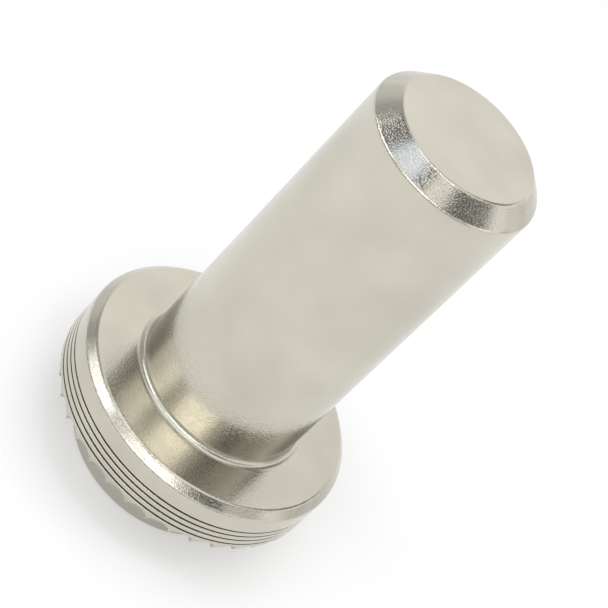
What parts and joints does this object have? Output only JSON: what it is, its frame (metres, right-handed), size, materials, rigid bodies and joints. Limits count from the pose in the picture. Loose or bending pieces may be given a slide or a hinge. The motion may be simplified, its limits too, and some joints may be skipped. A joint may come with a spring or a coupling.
{
  "type": "self-clinching nut",
  "caption": "Closed-end self-clinching nut: a blind threaded barrel on a round flange, with a toothed clinching ring and an undercut shank.",
  "frame": {"origin": "centre of the shank's end face", "axes": "+Z along the barrel, from the open shank end to the closed end"},
  "size_m": [0.0064, 0.0064, 0.011],
  "materials": {
    "steel": "turned and tumbled stainless steel, satin"
  },
  "bodies": {
    "root": {"clinch_nut": "steel"}
  },
  "joints": []
}
